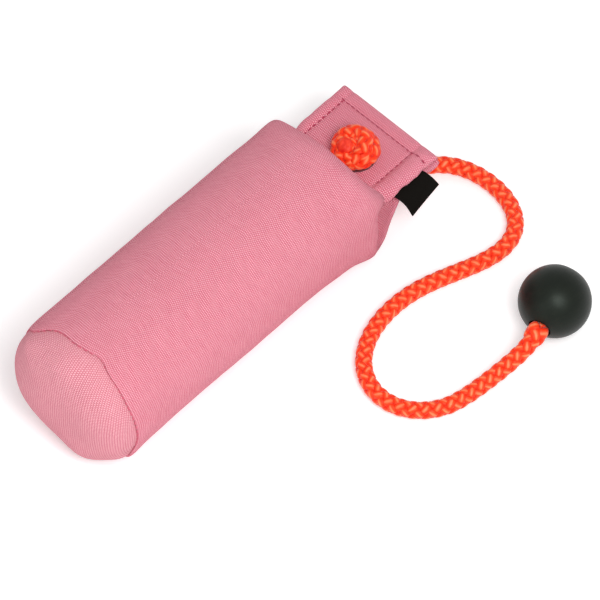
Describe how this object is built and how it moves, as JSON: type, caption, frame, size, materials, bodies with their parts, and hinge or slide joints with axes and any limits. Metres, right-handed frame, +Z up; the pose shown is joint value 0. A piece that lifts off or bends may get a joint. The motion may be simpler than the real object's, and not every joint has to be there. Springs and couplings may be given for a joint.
{
  "type": "dog training bumper",
  "caption": "Stuffed canvas roll with a domed sewn end, a flat stitched flap and eyelet, and a braided throwing rope knotted through the flap and a round ball.",
  "frame": {"origin": "middle of the flat patch on the underside of the roll, on which it rests", "axes": "+X along the roll towards the flap, +Y to its left, +Z up, away from the surface it rests on"},
  "size_m": [0.1825, 0.123, 0.0531],
  "materials": {
    "canvas_pink": "matte cotton canvas, fine cross ribs",
    "canvas_disc": "matte cotton canvas",
    "canvas_flap": "matte cotton canvas",
    "thread": "matte sewing thread",
    "foam": "matte foam",
    "bag_film": "thin film",
    "granulate": "loose plastic granules",
    "label_black": "matte woven tape",
    "rope_orange": "braided polypropylene, slight sheen",
    "ball_black": "matte black paint",
    "eyelet_metal": "dark nickel plate"
  },
  "bodies": {
    "bumper": {"cover_sleeve": "canvas_pink", "end_disc": "canvas_disc", "end_seam_stitches": "thread", "side_seam_stitches": "thread", "foam_wrap": "foam", "inner_bag": "bag_film", "granulate_fill": "granulate", "foam_pad_bottom": "foam", "foam_pad_top": "foam", "throw_rope": "rope_orange"},
    "flap": {"flap_upper_ply": "canvas_flap", "flap_lower_ply": "canvas_flap", "flap_gusset_left": "canvas_flap", "flap_gusset_right": "canvas_flap", "flap_end_fold": "canvas_flap", "flap_end_stitches": "thread", "flap_left_stitches": "thread", "flap_right_stitches": "thread", "eyelet_grommet": "eyelet_metal", "eyelet_washer": "eyelet_metal"},
    "label": {"label_tab": "label_black"},
    "flap_knot": {"flap_knot": "rope_orange"},
    "ball": {"throw_ball": "ball_black"},
    "ball_knot": {"ball_knot": "rope_orange"}
  },
  "joints": [
    {"name": "flap_bend", "type": "hinge", "parent": "bumper", "child": "flap", "pos_m": [0.0663, 0, 0.0268], "axis": [0, 1, 0], "range_deg": [-12, 35], "stiffness_Nm_per_rad": 0.05, "deforming": ["cover_sleeve", "throw_rope"]},
    {"name": "label_bend", "type": "hinge", "parent": "flap", "child": "label", "pos_m": [0.0723, -0.02225, 0.0268], "axis": [1, 0, 0], "range_deg": [-50, 35], "stiffness_Nm_per_rad": 0.0001},
    {"name": "flap_knot_lift", "type": "slide", "parent": "flap", "child": "flap_knot", "axis": [0, 0, 1], "range_m": [0, 0.006]},
    {"name": "ball_spin", "type": "hinge", "parent": "bumper", "child": "ball", "pos_m": [0.0856, -0.0834, 0.0125], "axis": [0.955, 0.292, 0.0523], "continuous": true},
    {"name": "ball_knot_slide", "type": "slide", "parent": "bumper", "child": "ball_knot", "axis": [0.955, 0.292, 0.0523], "range_m": [0, 0.008]}
  ]
}
